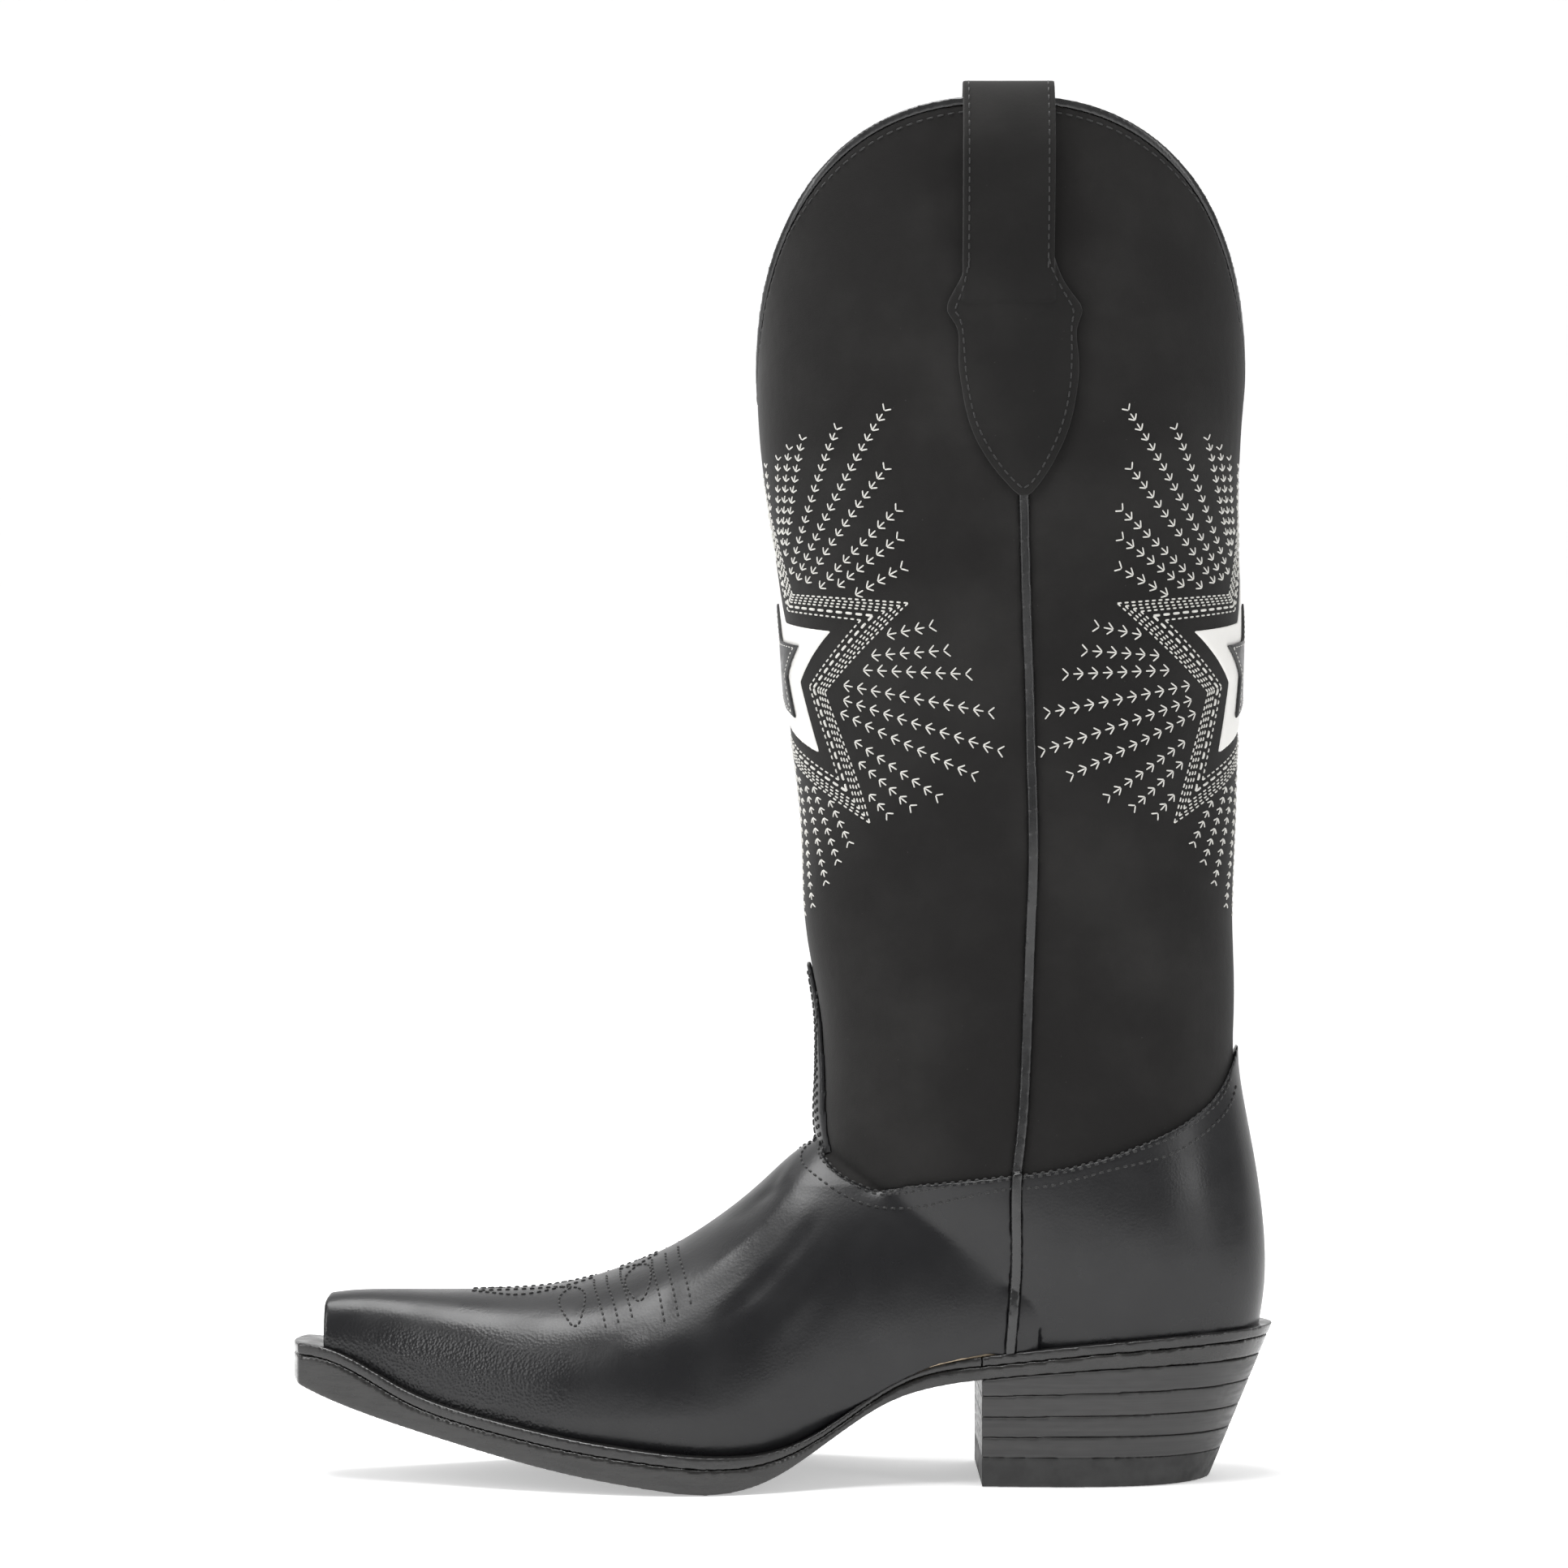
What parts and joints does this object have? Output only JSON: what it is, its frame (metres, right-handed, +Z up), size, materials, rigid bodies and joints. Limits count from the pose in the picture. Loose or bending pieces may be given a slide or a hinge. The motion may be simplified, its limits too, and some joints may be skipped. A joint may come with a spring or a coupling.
{
  "type": "cowboy boot",
  "caption": "Black Western boot for the right foot: snip toe, suede shaft with a deep scalloped rim, pull straps, star overlays, piped side seams and an underslung stacked heel.",
  "frame": {"origin": "on the floor, under the centre of the boot's bounding box", "axes": "+Z up, the toe points to -X, the heel to +X, the medial side of this right boot is -Y"},
  "size_m": [0.2888, 0.0953, 0.4066],
  "materials": {
    "smooth_leather": "smooth grain calf, polished",
    "lining_leather": "unfinished pigskin lining",
    "shaft_suede": "suede, short nap",
    "strap_suede": "suede, short nap",
    "piping_leather": "smooth glossy bead",
    "binding_leather": "smooth glossy edge strip",
    "white_leather": "smooth white overlay",
    "black_star_leather": "smooth black overlay",
    "stiffener": "pasted fibre and leather board",
    "insole_leather": "vegetable-tanned leather",
    "sock_leather": "thin sock leather",
    "cork": "ground cork filler",
    "shank_steel": "tempered steel strip",
    "welt_leather": "black dressed edge",
    "outsole_leather": "black edge dressing, waxed",
    "heel_stack_leather": "black dressed stacked leather",
    "top_lift_rubber": "solid black rubber",
    "nail_steel": "clinching nails",
    "peg_wood": "turned hardwood pegs"
  },
  "bodies": {
    "root": {"bottom_filler": "cork", "counter_cover": "smooth_leather", "counter_lining": "lining_leather", "heel_counter": "stiffener", "heel_lift_1": "heel_stack_leather", "heel_lift_2": "heel_stack_leather", "heel_lift_3": "heel_stack_leather", "heel_lift_4": "heel_stack_leather", "heel_nails": "nail_steel", "heel_rand": "welt_leather", "heel_seat_filler": "insole_leather", "insole": "insole_leather", "outsole": "outsole_leather", "pull_strap_lateral": "strap_suede", "pull_strap_medial": "strap_suede", "shaft_back": "shaft_suede", "shaft_front": "shaft_suede", "shaft_lining_back": "lining_leather", "shaft_lining_front": "lining_leather", "shank": "shank_steel", "side_piping_lateral": "piping_leather", "side_piping_medial": "piping_leather", "sock_liner": "sock_leather", "star_black_back": "black_star_leather", "star_black_front": "black_star_leather", "star_white_back": "white_leather", "star_white_front": "white_leather", "toe_puff": "stiffener", "top_binding": "binding_leather", "top_lift": "top_lift_rubber", "top_lift_nails": "nail_steel", "vamp": "smooth_leather", "vamp_interlining": "stiffener", "vamp_lining": "lining_leather", "waist_filler": "insole_leather", "waist_pegs": "peg_wood", "welt": "welt_leather"}
  },
  "joints": []
}
